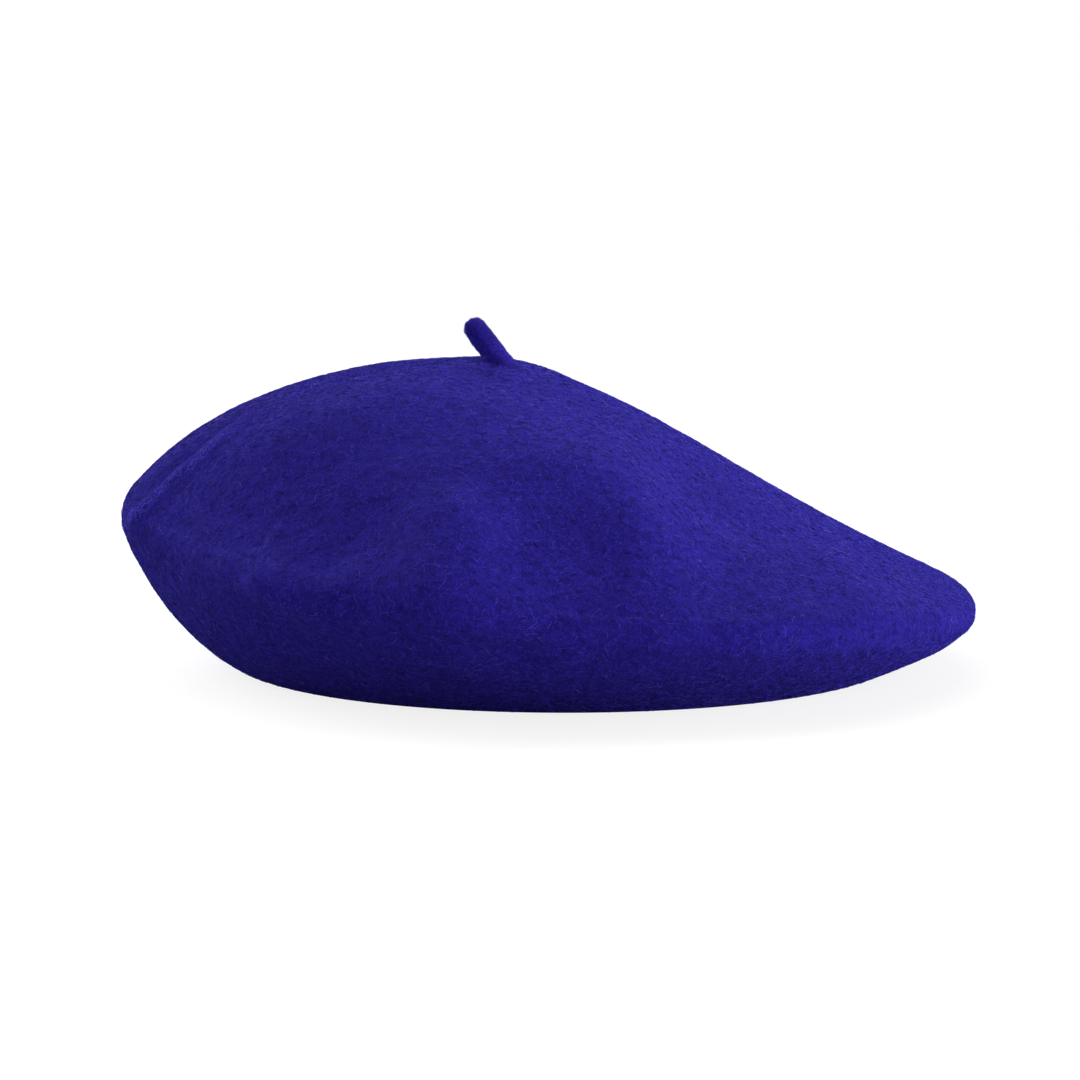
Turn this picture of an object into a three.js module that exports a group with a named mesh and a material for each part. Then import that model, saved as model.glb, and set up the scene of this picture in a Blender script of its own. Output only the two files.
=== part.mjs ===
// A wool-felt beret with its lining, its leather sweatband and the stalk on its crown.
// Millimetres, +Z up. The beret rests on the rim of its head opening, the origin is the middle
// of its base, and the felt hangs over towards +X, the side where it is lowest.
import * as THREE from 'three';
import { ParametricGeometry } from 'three/addons/geometries/ParametricGeometry.js';
import { RoundedBoxGeometry } from 'three/addons/geometries/RoundedBoxGeometry.js';

// ---- Driving dimensions ----
const HALF_WIDTH = 125; // of the fold line, where crown and underside meet, along X
const HALF_DEPTH = 132; // and along Y
const CROWN = new THREE.Vector3(-15.5, 0, 87.5); // the middle of the felt disc
const OPENING_X = 4.5; // the head opening's centre
const RIM_RADIUS = 95; // outside of the head opening
const FELT = 2.4;
const GAP = 0.35; // left between pieces that touch
const LINING = 0.6;
const LINING_DEPTH = FELT + 1.5; // how far the lining lies inside the felt's outer face
const SWEATBAND = { thickness: 1.2, height: 26, joint: 2, lift: 0.8 };
const THREAD_RADIUS = 0.25;
const STALK = { root: 2.6, tip: 3.3, lean: 4.2, rise: 4.4, bow: 0.5 };
const STALK_OFFSET = -1.7; // the stalk leans before it leaves the felt
const MAKER_LABEL = { radius: 22, thickness: 0.4 };
const CARE_LABEL = { width: 20, length: 17, thickness: 0.5, top: 24, azimuth: 125 };
const SIZE_LABEL = { width: 14, height: 10, thickness: 0.5, azimuth: 64 };
const BOW = { length: 34, height: 12, waist: 4.4, thickness: 1.6 };
const WRAP = { width: 5, thickness: 0.6 };

// The felt's section at eight stations, one every 45 degrees from +X towards +Y: the height of
// the fold and its radius, the slopes of crown and underside where they run into the fold, and
// how far each end of the crown holds its direction, as a share of the crown's length there.
const STATIONS = [
  { height: 16, radius: 6, crownSlope: 25, underSlope: 44, topHold: 0.23, foldHold: 0.53 },
  { height: 19, radius: 9, crownSlope: 26, underSlope: 40, topHold: 0.23, foldHold: 0.51 },
  { height: 32, radius: 9, crownSlope: 36, underSlope: 50, topHold: 0.36, foldHold: 0.44 },
  { height: 38.5, radius: 12, crownSlope: 47, underSlope: 55, topHold: 0.46, foldHold: 0.39 },
  { height: 43.5, radius: 12.5, crownSlope: 49, underSlope: 65, topHold: 0.39, foldHold: 0.34 },
  { height: 38, radius: 9.5, crownSlope: 46, underSlope: 60, topHold: 0.38, foldHold: 0.43 },
  { height: 28, radius: 8.5, crownSlope: 38, underSlope: 45, topHold: 0.36, foldHold: 0.4 },
  { height: 21.5, radius: 7, crownSlope: 25, underSlope: 40, topHold: 0.28, foldHold: 0.47 },
];
const RIM_SLOPE = 26; // the underside's slope where it leaves the rim, in degrees
const RIM_HOLD = 0.3; // how far from the rim its round shape holds the felt, as a share
const FOLD_REACH = 0.9; // how far to either side of the fold the felt sinks level, as a share

// Soft hollows and swells of the resting felt: each follows a line through a few points, fades
// out over its reach, and sinks by its depth. A negative depth swells.
const HOLLOWS = [
  // peak under the stalk
  { through: [[-15.5, 0, 88]], reach: 19, depth: -2.6 },
  // dip beside the stalk
  { through: [[-5, -4, 88], [-5, 10, 87]], reach: 7, depth: 1.1 },
  // crease on the high side
  { through: [[-119, -34, 47], [-106, -33, 59], [-96, -32, 66], [-87, -22, 73]], reach: 5.5, depth: -2.6 },
  // dip behind the crease
  { through: [[-117, -18, 52], [-109, -18, 59], [-99, -17, 66], [-87, -4, 74]], reach: 9, depth: 3.4 },
  // flat panel round the crease
  { through: [[-111, -27, 59], [-69, 8, 82]], reach: 17, depth: 1.3 },
  // wide hollow above the fold
  { through: [[-108, -63, 47], [-61, -102, 49]], reach: 26, depth: 6.5 },
  // lip below the hollow
  { through: [[-93, -88, 37], [-62, -115, 34], [-55, -114, 42]], reach: 7, depth: -1.9 },
  // lower edge of that lip
  { through: [[-80, -101, 35], [-64, -110, 28]], reach: 8, depth: -3.5 },
  // slack above the hollow
  { through: [[-64, -72, 69], [-1, -53, 78]], reach: 19, depth: 2.4 },
  // swell beside the hollow
  { through: [[-27, -105, 54], [-32, -124, 38]], reach: 16, depth: -5.9 },
  // valley down the front
  { through: [[-10, -102, 55], [-4, -108, 51], [14, -129, 33]], reach: 20, depth: 2.9 },
  // deepest part of the valley
  { through: [[9, -90, 60], [13, -106, 47]], reach: 13, depth: 2.2 },
  // ridge beside the valley
  { through: [[25, -48, 69], [20, -87, 57]], reach: 23, depth: -3.1 },
  // slope towards the low side
  { through: [[1, -22, 84], [48, -60, 53]], reach: 25, depth: 4.3 },
  // dip below that slope
  { through: [[48, -94, 42], [47, -105, 37]], reach: 15, depth: 3.1 },
  // last ridge
  { through: [[83, -60, 36], [84, -79, 32]], reach: 12, depth: -2.3 },
  // groove in the underside
  { through: [[-40, -124, 29], [-10, -128, 22]], reach: 8, depth: 2.9 },
  // front of the fold, drawn in
  { through: [[3, -132, 27], [40, -125, 25]], reach: 12, depth: 3.1 },
  // flat strip above the fold
  { through: [[-6, -121, 41], [68, -111, 23]], reach: 9, depth: 0.7 },
];

// ---- How finely the pieces are divided ----
const AROUND = 48;
const CROWN_ROWS = 13;
const FOLD_ROWS = 4;
const UNDER_ROWS = 6;
const NEAR_RIM = 2.88; // below this the inner layers run straight to their lower edges
const STEP = 1e-3; // for slopes taken by differences

const radians = THREE.MathUtils.degToRad;
const UP = new THREE.Vector3(0, 0, 1);

// ---- The felt's outer face ----

/** A section value at any azimuth, by a smooth curve through the eight stations. */
function station(key, azimuth) {
  const turn = ((azimuth / (2 * Math.PI)) * STATIONS.length + STATIONS.length) % STATIONS.length;
  const index = Math.floor(turn);
  const t = turn - index;
  const [a, b, c, d] = [-1, 0, 1, 2].map(
    (k) => STATIONS[(index + k + STATIONS.length) % STATIONS.length][key],
  );
  const even = 2 * b + (c - a) * t;
  return 0.5 * (even + (2 * a - 5 * b + 4 * c - d) * t ** 2 + (3 * b - a - 3 * c + d) * t ** 3);
}

/** A direction in the upright plane of `level`, `slope` radians above it. */
function sloped(level, slope) {
  return level.clone().multiplyScalar(Math.cos(slope)).addScaledVector(UP, Math.sin(slope));
}

function bezier(start, startHandle, endHandle, end, t) {
  return new THREE.CubicBezierCurve3(start, startHandle, endHandle, end).getPoint(t);
}

/** A point of the rim circle that lies `inset` inside the felt's edge, at height z. */
function rimPoint(azimuth, inset, z) {
  const radius = RIM_RADIUS - inset;
  return new THREE.Vector3(OPENING_X + radius * Math.cos(azimuth), radius * Math.sin(azimuth), z);
}

/** The fold line seen from above. */
function foldEdge(azimuth) {
  return new THREE.Vector3(HALF_WIDTH * Math.cos(azimuth), HALF_DEPTH * Math.sin(azimuth), 0);
}

function outward(azimuth) {
  return foldEdge(azimuth).sub(CROWN).setZ(0).normalize();
}

/**
 * The felt without its hollows. `along` runs 0 to 1 from the crown's middle to the fold,
 * 1 to 2 round the fold, and 2 to 3 from the fold to the rim.
 */
function plainFelt(azimuth, along) {
  const edge = foldEdge(azimuth);
  const out = outward(azimuth);
  const radius = station('radius', azimuth);
  const crownSlope = radians(station('crownSlope', azimuth));
  const underSlope = radians(station('underSlope', azimuth));
  const foldCentre = edge.clone().addScaledVector(out, -radius).setZ(station('height', azimuth));
  const foldPoint = (angle) => foldCentre.clone().addScaledVector(sloped(out, angle), radius);
  if (along < 1) {
    const end = foldPoint(Math.PI / 2 - crownSlope);
    const length = end.distanceTo(CROWN);
    const startHandle = CROWN.clone().addScaledVector(out, station('topHold', azimuth) * length);
    const back = sloped(out.clone().negate(), crownSlope);
    const endHandle = end.clone().addScaledVector(back, station('foldHold', azimuth) * length);
    return bezier(CROWN, startHandle, endHandle, end, along);
  }
  if (along <= 2) {
    const angle = THREE.MathUtils.lerp(Math.PI / 2 - crownSlope, underSlope - Math.PI / 2, along - 1);
    return foldPoint(angle);
  }
  const start = foldPoint(underSlope - Math.PI / 2);
  const rim = rimPoint(azimuth, 0, 0);
  const span = start.distanceTo(rim);
  const away = edge.clone().sub(rim).setZ(0).normalize();
  const inward = sloped(out.clone().negate(), -underSlope);
  const startHandle = start.clone().addScaledVector(inward, 0.4 * span);
  const endHandle = rim.clone().addScaledVector(sloped(away, radians(RIM_SLOPE)), 0.3 * span);
  return bezier(start, startHandle, endHandle, rim, along - 2);
}

/** The outward normal of the felt without its hollows. */
function plainNormal(azimuth, along) {
  if (along < 2 * STEP) return UP.clone();
  const before = Math.min(along, 3 - STEP);
  const down = plainFelt(azimuth, before + STEP).sub(plainFelt(azimuth, before - STEP));
  const round = plainFelt(azimuth + STEP, along).sub(plainFelt(azimuth - STEP, along));
  return down.cross(round).normalize();
}

/** The distance from a point to a line through a few points. */
function distanceTo(through, point) {
  const nodes = through.map((place) => new THREE.Vector3(...place));
  if (nodes.length === 1) return nodes[0].distanceTo(point);
  const nearest = new THREE.Vector3();
  const distances = nodes.slice(1).map((end, i) => {
    new THREE.Line3(nodes[i], end).closestPointToPoint(point, true, nearest);
    return nearest.distanceTo(point);
  });
  return Math.min(...distances);
}

/** How far the felt sinks at a point. */
function sink(point) {
  let total = 0;
  for (const { through, reach, depth } of HOLLOWS) {
    total += depth * Math.exp(-((distanceTo(through, point) / reach) ** 2));
  }
  return total;
}

/** Which way the felt sinks: inward, and across the fold mostly level, so that the fold stays round. */
function sinkDirection(azimuth, along) {
  const fromFold = Math.min(1, Math.abs(along - 1.5) / FOLD_REACH);
  const level = 2 * Math.cos((fromFold * Math.PI) / 2) ** 2;
  const direction = plainNormal(azimuth, along).addScaledVector(outward(azimuth), level);
  return direction.normalize().negate();
}

/** A point `depth` inside the felt's outer face. The hollows fade out near the rim. */
function layer(azimuth, along, depth) {
  const point = plainFelt(azimuth, along);
  const sunk = sink(point) * THREE.MathUtils.clamp((3 - along) / RIM_HOLD, 0, 1);
  point.addScaledVector(sinkDirection(azimuth, along), sunk);
  return point.addScaledVector(plainNormal(azimuth, along), -depth);
}

/** How far along the crown a point lies at a given distance from its middle, seen from above. */
function alongAt(azimuth, distance) {
  let [low, high] = [0, 1];
  for (let i = 0; i < 20; i += 1) {
    const middle = (low + high) / 2;
    if (plainFelt(azimuth, middle).setZ(CROWN.z).distanceTo(CROWN) < distance) low = middle;
    else high = middle;
  }
  return low;
}

// ---- Closed skins ----

/** Values of `along` from one row of the felt's grid to another. */
function rows(first, last) {
  const all = [];
  for (let i = 0; i < CROWN_ROWS; i += 1) all.push(i / CROWN_ROWS);
  for (let i = 0; i < FOLD_ROWS; i += 1) all.push(1 + i / FOLD_ROWS);
  for (let i = 0; i <= UNDER_ROWS; i += 1) all.push(2 + i / UNDER_ROWS);
  return [first, ...all.filter((value) => value > first + 0.02 && value < last - 0.02), last];
}

/** A solid of revolution in kind: `section` gives each azimuth's points, from outside to inside. */
function skin(section, closed) {
  const sections = [];
  for (let i = 0; i < AROUND; i += 1) sections.push(section((2 * Math.PI * i) / AROUND));
  const count = sections[0].length;
  const spans = closed ? count : count - 1;
  const surface = (u, v, target) => {
    const points = sections[Math.round((1 - u) * AROUND) % AROUND];
    target.copy(points[Math.round(v * spans) % count]);
  };
  return new ParametricGeometry(surface, AROUND, spans);
}

/** A thin skin between two depths, from one row to another; it is a disc if it starts at 0. */
function layerSkin(first, last, outside, inside, lowerEdge = () => []) {
  const down = rows(first, last);
  const back = [...down].reverse();
  const section = (azimuth) => [
    ...down.map((along) => layer(azimuth, along, outside)),
    ...lowerEdge(azimuth),
    ...back.map((along) => layer(azimuth, along, inside)),
  ];
  return skin(section, first > 0);
}

// ---- Small shapes ----

/** A ring of thread through the points of a closed line. */
function threadRing(pointAt) {
  const points = [];
  for (let i = 0; i < AROUND; i += 1) points.push(pointAt((2 * Math.PI * i) / AROUND));
  const line = new THREE.CatmullRomCurve3(points, true);
  return new THREE.TubeGeometry(line, AROUND, THREAD_RADIUS, 5, true);
}

/** A round bar with round ends along a curve, its radius running from one end's to the other's. */
function roundBar(curve, startRadius, endRadius) {
  const sides = 14;
  const capRows = 4;
  const bodyRows = 5;
  const spans = 2 * capRows + bodyRows;
  const side = new THREE.Vector3(0, 1, 0);
  const surface = (u, v, target) => {
    const row = Math.round(v * spans);
    const capAngle = row <= capRows
      ? ((row / capRows - 1) * Math.PI) / 2
      : (Math.max(0, row - capRows - bodyRows) / capRows) * (Math.PI / 2);
    const t = THREE.MathUtils.clamp((row - capRows) / bodyRows, 0, 1);
    const radius = THREE.MathUtils.lerp(startRadius, endRadius, t);
    const tangent = curve.getTangent(t);
    const third = new THREE.Vector3().crossVectors(tangent, side);
    target.copy(curve.getPoint(t)).addScaledVector(tangent, radius * Math.sin(capAngle));
    target.addScaledVector(side, radius * Math.cos(capAngle) * Math.cos(2 * Math.PI * u));
    target.addScaledVector(third, radius * Math.cos(capAngle) * Math.sin(2 * Math.PI * u));
  };
  return new ParametricGeometry(surface, sides, spans);
}

function material(color, roughness) {
  return new THREE.MeshStandardMaterial({ color, roughness, metalness: 0 });
}

const FELT_BLUE = material('#2a2390', 0.95);
const LINING_BLUE = material('#23265e', 0.45);
const LEATHER = material('#2a1d16', 0.6);
const RIBBON = material('#15151c', 0.55);
const THREAD = material('#1c1a58', 0.8);
const LABEL_WHITE = material('#e9e7e0', 0.7);

function piece(name, geometry, look) {
  const mesh = new THREE.Mesh(geometry, look);
  mesh.name = name;
  return mesh;
}

/** A group standing inside the opening at an azimuth: its +X is level and its -Z faces inward. */
function insideOpening(azimuth, radius, z) {
  const group = new THREE.Group();
  const angle = radians(azimuth);
  group.position.set(OPENING_X + radius * Math.cos(angle), radius * Math.sin(angle), z);
  group.rotation.z = angle - Math.PI / 2;
  return group;
}

// ---- The pieces ----
const beret = new THREE.Group();

function addFelt() {
  const flatRim = (azimuth) => [rimPoint(azimuth, FELT + 0.2, 0)];
  const down = rows(0, 3);
  const back = rows(0, NEAR_RIM).reverse();
  const section = (azimuth) => [
    ...down.map((along) => layer(azimuth, along, 0)),
    ...flatRim(azimuth),
    ...back.map((along) => layer(azimuth, along, FELT)),
  ];
  beret.add(piece('felt_body', skin(section, false), FELT_BLUE));
}

function addStalk() {
  const top = layer(0, 0, 0);
  const root = top.clone().add(new THREE.Vector3(STALK_OFFSET, 0, GAP + STALK.root));
  const tip = new THREE.Vector3(-STALK.lean, 0, STALK.rise);
  const middle = new THREE.Vector3(-STALK.lean / 2 + STALK.bow, 0, STALK.rise / 2 + STALK.bow);
  const curve = new THREE.QuadraticBezierCurve3(new THREE.Vector3(), middle, tip);
  const stalk = piece('stalk', roundBar(curve, STALK.root, STALK.tip), FELT_BLUE);
  stalk.position.copy(root);
  beret.add(stalk);

  const reach = 2.4;
  const under = top.z - FELT - GAP - 2.2 * THREAD_RADIUS;
  const start = new THREE.Vector3(-reach, 0, 0);
  const tack = new THREE.LineCurve3(start, start.clone().negate());
  const thread = piece('stalk_tack_thread', roundBar(tack, THREAD_RADIUS, THREAD_RADIUS), THREAD);
  thread.position.set(CROWN.x, 0, under);
  beret.add(thread);
}

function addLining() {
  const seam = 1.5; // half way round the fold
  const half = 0.05;
  const inside = LINING_DEPTH + LINING;
  const tip = layerSkin(0, seam - half, LINING_DEPTH, inside);
  beret.add(piece('lining_tip', tip, LINING_BLUE));
  const outerInset = FELT + 0.2 + GAP;
  const tucked = (azimuth) => [
    rimPoint(azimuth, outerInset, 1),
    rimPoint(azimuth, outerInset + LINING, 1),
  ];
  const side = layerSkin(seam + half, NEAR_RIM, LINING_DEPTH, inside, tucked);
  beret.add(piece('lining_side', side, LINING_BLUE));
  const seamDepth = inside + GAP + THREAD_RADIUS;
  const ring = threadRing((azimuth) => layer(azimuth, seam, seamDepth));
  beret.add(piece('lining_seam_thread', ring, THREAD));
}

function addMakerLabel() {
  const outside = LINING_DEPTH + LINING + GAP;
  const rings = [0, 0.35, 0.7, 1].map((share) => share * MAKER_LABEL.radius);
  const label = (azimuth) => {
    const alongs = rings.map((distance) => alongAt(azimuth, distance));
    const back = [...alongs].reverse();
    return [
      ...alongs.map((along) => layer(azimuth, along, outside)),
      ...back.map((along) => layer(azimuth, along, outside + MAKER_LABEL.thickness)),
    ];
  };
  beret.add(piece('maker_label', skin(label, false), LABEL_WHITE));
  const stitch = outside + MAKER_LABEL.thickness + GAP + THREAD_RADIUS;
  const ring = threadRing((azimuth) => {
    return layer(azimuth, alongAt(azimuth, 0.9 * MAKER_LABEL.radius), stitch);
  });
  beret.add(piece('maker_label_thread', ring, THREAD));
}

const BAND_OUTSIDE = RIM_RADIUS - FELT - 0.2 - 2 * GAP - LINING;
const BAND_INSIDE = BAND_OUTSIDE - SWEATBAND.thickness;

function addSweatband() {
  const halfJoint = SWEATBAND.joint / 2 / BAND_INSIDE;
  const start = Math.PI / 2 + halfJoint;
  const end = Math.PI / 2 - halfJoint + 2 * Math.PI;
  const outline = new THREE.Shape();
  outline.absarc(OPENING_X, 0, BAND_OUTSIDE, start, end, false);
  outline.absarc(OPENING_X, 0, BAND_INSIDE, end, start, true);
  outline.closePath();
  const band = new THREE.ExtrudeGeometry(outline, {
    depth: SWEATBAND.height,
    bevelEnabled: false,
    curveSegments: 60,
  });
  const leather = piece('sweatband', band, LEATHER);
  leather.position.z = SWEATBAND.lift;
  beret.add(leather);
  const stitchHeight = SWEATBAND.lift + 2;
  const inset = RIM_RADIUS - BAND_INSIDE + GAP + THREAD_RADIUS;
  const ring = threadRing((azimuth) => rimPoint(azimuth, inset, stitchHeight));
  beret.add(piece('sweatband_seam_thread', ring, THREAD));
}

/** Where a flat piece of a given width lies clear of the round band, measured as a radius. */
function chordRadius(width) {
  return Math.sqrt((BAND_INSIDE - GAP) ** 2 - (width / 2) ** 2);
}

function addBow() {
  const outline = new THREE.Shape();
  const [end, top, waist] = [BOW.length / 2, BOW.height / 2, BOW.waist / 2];
  outline.moveTo(-waist, -waist);
  outline.bezierCurveTo(-0.5 * end, -top, -end, -1.3 * top, -end, -0.8 * top);
  outline.lineTo(-0.96 * end, 0.8 * top);
  outline.bezierCurveTo(-end, 1.3 * top, -0.5 * end, top, -waist, waist);
  outline.lineTo(waist, waist);
  outline.bezierCurveTo(0.5 * end, top, end, 1.3 * top, 0.96 * end, 0.8 * top);
  outline.lineTo(end, -0.8 * top);
  outline.bezierCurveTo(end, -1.3 * top, 0.5 * end, -top, waist, -waist);
  outline.closePath();
  const loops = new THREE.ExtrudeGeometry(outline, {
    depth: BOW.thickness,
    bevelEnabled: false,
    curveSegments: 8,
  });
  const place = insideOpening(90, chordRadius(BOW.length), SWEATBAND.lift + SWEATBAND.height / 2);
  const bow = piece('bow_loops', loops, RIBBON);
  bow.rotation.x = Math.PI / 2;

  const wrapOutline = (thickness, height) => {
    const shape = new THREE.Shape();
    shape.moveTo(-thickness / 2, -height / 2);
    shape.lineTo(thickness / 2, -height / 2);
    shape.lineTo(thickness / 2, height / 2);
    shape.lineTo(-thickness / 2, height / 2);
    shape.closePath();
    return shape;
  };
  const hole = [BOW.thickness + 2 * GAP, BOW.waist + 2 * GAP];
  const wrapShape = wrapOutline(hole[0] + 2 * WRAP.thickness, hole[1] + 2 * WRAP.thickness);
  wrapShape.holes.push(wrapOutline(...hole));
  const ring = new THREE.ExtrudeGeometry(wrapShape, { depth: WRAP.width, bevelEnabled: false });
  ring.translate(0, 0, -WRAP.width / 2);
  const wrap = piece('bow_wrap', ring, RIBBON);
  // turned so that the ring's hole runs along the bow
  wrap.quaternion.setFromAxisAngle(new THREE.Vector3(1, 1, 1).normalize(), (2 * Math.PI) / 3);
  wrap.position.y = -BOW.thickness / 2;
  place.add(bow, wrap);
  beret.add(place);
}

function addFlatLabel(name, size, azimuth, z, look) {
  const [width, thickness, height] = size;
  const place = insideOpening(azimuth, chordRadius(width) - thickness / 2, z);
  place.add(piece(name, new RoundedBoxGeometry(width, thickness, height, 1, 0.15), look));
  beret.add(place);
}

function addLabels() {
  const care = [CARE_LABEL.width, CARE_LABEL.thickness, CARE_LABEL.length];
  const careMiddle = CARE_LABEL.top - CARE_LABEL.length / 2;
  addFlatLabel('care_label', care, CARE_LABEL.azimuth, careMiddle, LABEL_WHITE);
  const size = [SIZE_LABEL.width, SIZE_LABEL.thickness, SIZE_LABEL.height];
  const bandMiddle = SWEATBAND.lift + SWEATBAND.height / 2;
  addFlatLabel('size_label', size, SIZE_LABEL.azimuth, bandMiddle, LABEL_WHITE);
}

addFelt();
addStalk();
addLining();
addMakerLabel();
addSweatband();
addBow();
addLabels();

export default beret;
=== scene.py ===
"""The looks of a blue wool-felt beret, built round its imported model.

Blender works in metres, +Z up. The felt's own formula, which the CAD model uses too, works in
millimetres, and meshes are turned into metres as they are made.
"""
import math

import bpy
import numpy as np
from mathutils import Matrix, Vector, noise


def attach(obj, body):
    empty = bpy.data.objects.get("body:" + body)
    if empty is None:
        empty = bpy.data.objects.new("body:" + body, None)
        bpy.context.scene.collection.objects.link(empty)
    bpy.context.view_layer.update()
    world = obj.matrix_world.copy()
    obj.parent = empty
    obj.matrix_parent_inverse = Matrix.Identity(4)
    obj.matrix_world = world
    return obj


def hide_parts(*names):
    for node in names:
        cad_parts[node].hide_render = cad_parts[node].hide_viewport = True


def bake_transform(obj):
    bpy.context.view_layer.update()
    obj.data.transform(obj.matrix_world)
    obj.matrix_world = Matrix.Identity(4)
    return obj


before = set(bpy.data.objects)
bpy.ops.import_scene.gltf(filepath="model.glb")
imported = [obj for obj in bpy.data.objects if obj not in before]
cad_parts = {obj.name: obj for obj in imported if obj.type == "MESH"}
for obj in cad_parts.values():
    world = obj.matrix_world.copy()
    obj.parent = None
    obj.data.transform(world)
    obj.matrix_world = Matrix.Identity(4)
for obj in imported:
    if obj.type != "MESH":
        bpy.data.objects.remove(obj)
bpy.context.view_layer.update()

MM = 0.001
UP = np.array([0.0, 0.0, 1.0])

# ---- The felt's section, in millimetres ----
HALF_WIDTH, HALF_DEPTH = 125.0, 132.0  # of the fold line between crown and underside
CROWN = np.array([-15.5, 0.0, 87.5])  # the middle of the felt disc
OPENING_X = 4.5
RIM_RADIUS = 95.0
RIM_SLOPE = math.radians(26)
RIM_HOLD = 0.3  # how far from the rim its round shape holds the felt
FOLD_REACH = 0.9  # how far to either side of the fold the felt sinks level
FELT = 2.4
GAP = 0.35
RIM_CLEARANCE = 0.2  # between the felt's inside and the next layer at the rim
LINING = 0.6
LINING_DEPTH = FELT + 1.5

# Eight stations, one every 45 degrees from +X towards +Y.
SECTION = {
    "height": (16, 19, 32, 38.5, 43.5, 38, 28, 21.5),
    "radius": (6, 9, 9, 12, 12.5, 9.5, 8.5, 7),
    "crown_slope": (25, 26, 36, 47, 49, 46, 38, 25),
    "under_slope": (44, 40, 50, 55, 65, 60, 45, 40),
    "top_hold": (0.23, 0.23, 0.36, 0.46, 0.39, 0.38, 0.36, 0.28),
    "fold_hold": (0.53, 0.51, 0.44, 0.39, 0.34, 0.43, 0.40, 0.47),
}

# Hollows and swells: the line that each follows, its reach and its depth. A negative depth swells.
HOLLOWS = (
    (((-15.5, 0, 88),), 19, -2.6),  # peak under the stalk
    (((-5, -4, 88), (-5, 10, 87)), 7, 1.1),  # dip beside the stalk
    # crease on the high side
    (((-119, -34, 47), (-106, -33, 59), (-96, -32, 66), (-87, -22, 73)), 5.5, -2.6),
    # dip behind the crease
    (((-117, -18, 52), (-109, -18, 59), (-99, -17, 66), (-87, -4, 74)), 9, 3.4),
    (((-111, -27, 59), (-69, 8, 82)), 17, 1.3),  # flat panel round the crease
    (((-108, -63, 47), (-61, -102, 49)), 26, 6.5),  # wide hollow above the fold
    (((-93, -88, 37), (-62, -115, 34), (-55, -114, 42)), 7, -1.9),  # lip below the hollow
    (((-80, -101, 35), (-64, -110, 28)), 8, -3.5),  # lower edge of that lip
    (((-64, -72, 69), (-1, -53, 78)), 19, 2.4),  # slack above the hollow
    (((-27, -105, 54), (-32, -124, 38)), 16, -5.9),  # swell beside the hollow
    (((-10, -102, 55), (-4, -108, 51), (14, -129, 33)), 20, 2.9),  # valley down the front
    (((9, -90, 60), (13, -106, 47)), 13, 2.2),  # deepest part of the valley
    (((25, -48, 69), (20, -87, 57)), 23, -3.1),  # ridge beside the valley
    (((1, -22, 84), (48, -60, 53)), 25, 4.3),  # slope towards the low side
    (((48, -94, 42), (47, -105, 37)), 15, 3.1),  # dip below that slope
    (((83, -60, 36), (84, -79, 32)), 12, -2.3),  # last ridge
    (((-40, -124, 29), (-10, -128, 22)), 8, 2.9),  # groove in the underside
    (((3, -132, 27), (40, -125, 25)), 12, 3.1),  # front of the fold, drawn in
    (((-6, -121, 41), (68, -111, 23)), 9, 0.7),  # flat strip above the fold
)


def unit(vectors):
    """The same directions, each of length one."""
    length = np.linalg.norm(vectors, axis=-1, keepdims=True)
    return vectors / np.maximum(length, 1e-12)


def smooth_between(a, b, c, d, t):
    """From b at t = 0 to c at t = 1, on a smooth curve that also heeds a and d."""
    cubic = (2 * a - 5 * b + 4 * c - d) * t**2 + (3 * b - a - 3 * c + d) * t**3
    return 0.5 * (2 * b + (c - a) * t + cubic)


def station(key, azimuth):
    """A section value at any azimuth, by a smooth curve through the eight stations."""
    values = np.array(SECTION[key], float)
    turn = azimuth / (2 * np.pi) * len(values) % len(values)
    index = np.floor(turn).astype(int)
    near = [values[(index + k) % len(values)] for k in (-1, 0, 1, 2)]
    return smooth_between(*near, turn - index)[..., None]


def bezier(start, start_handle, end_handle, end, t):
    """Points on a cubic curve between two ends."""
    t = t[..., None]
    first = (1 - t) ** 3 * start + 3 * (1 - t) ** 2 * t * start_handle
    return first + 3 * (1 - t) * t**2 * end_handle + t**3 * end


def rim_point(azimuth, inset, z):
    """Points on a ring inside the head opening's edge."""
    radius = RIM_RADIUS - inset
    x = OPENING_X + radius * np.cos(azimuth)
    return np.stack([x, radius * np.sin(azimuth), z + np.zeros_like(azimuth)], -1)


def fold_edge(azimuth):
    """The fold line seen from above."""
    x, y = HALF_WIDTH * np.cos(azimuth), HALF_DEPTH * np.sin(azimuth)
    return np.stack([x, y, np.zeros_like(x)], -1)


def outward(azimuth):
    """Level directions from the crown's middle to the fold."""
    return unit(fold_edge(azimuth) - CROWN * (1, 1, 0))


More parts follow.
